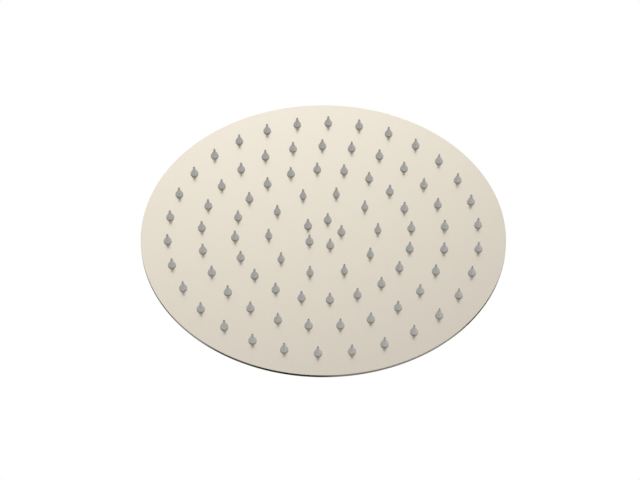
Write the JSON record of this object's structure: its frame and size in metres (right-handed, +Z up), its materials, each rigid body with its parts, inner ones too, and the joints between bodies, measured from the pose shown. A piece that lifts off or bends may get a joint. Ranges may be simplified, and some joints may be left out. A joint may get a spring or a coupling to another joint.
{
  "type": "shower head",
  "caption": "Thin round rain shower head with rings of single silicone nozzles, hung on a ball swivel with a G1/2 female inlet.",
  "frame": {"origin": "centre of the inlet's mouth, where the shower arm screws in", "axes": "+Z up along the inlet, towards the shower arm; the water side faces down; +X through the first nozzle of every ring"},
  "size_m": [0.25, 0.25, 0.0658],
  "materials": {
    "champagne_steel": "satin champagne plating on stainless sheet",
    "plated_brass": "satin champagne plating on turned brass",
    "bare_steel": "turned stainless steel",
    "screen_steel": "fine stainless mesh",
    "grey_silicone": "matt moulded silicone",
    "black_rubber": "matt moulded rubber",
    "white_acetal": "moulded acetal",
    "blue_acetal": "moulded acetal",
    "natural_nylon": "moulded nylon"
  },
  "bodies": {
    "stem": {"inlet_nut": "plated_brass", "ball_stem": "plated_brass", "inlet_washer": "black_rubber", "filter_screen": "screen_steel", "restrictor_housing": "white_acetal", "restrictor_core": "blue_acetal", "restrictor_o_ring": "black_rubber"},
    "liner": {"ball_liner": "natural_nylon"},
    "seat": {"ball_seat": "white_acetal", "ball_o_ring": "black_rubber", "seat_o_ring": "black_rubber"},
    "head": {"collar_nut": "plated_brass", "inlet_boss": "plated_brass", "back_plate": "champagne_steel", "spacer_posts": "bare_steel", "face_plate": "champagne_steel", "nozzle_ring_1": "grey_silicone", "nozzle_ring_2": "grey_silicone", "nozzle_ring_3": "grey_silicone", "nozzle_ring_4": "grey_silicone", "nozzle_ring_5": "grey_silicone"}
  },
  "joints": [
    {"name": "tilt_about_x", "type": "hinge", "parent": "stem", "child": "liner", "pos_m": [0, 0, -0.03596], "axis": [1, 0, 0], "range_deg": [-12, 12]},
    {"name": "tilt_about_y", "type": "hinge", "parent": "liner", "child": "seat", "pos_m": [0, 0, -0.03596], "axis": [0, 1, 0], "range_deg": [-12, 12]},
    {"name": "head_turn", "type": "hinge", "parent": "seat", "child": "head", "pos_m": [0, 0, -0.03596], "axis": [0, 0, 1], "continuous": true}
  ]
}
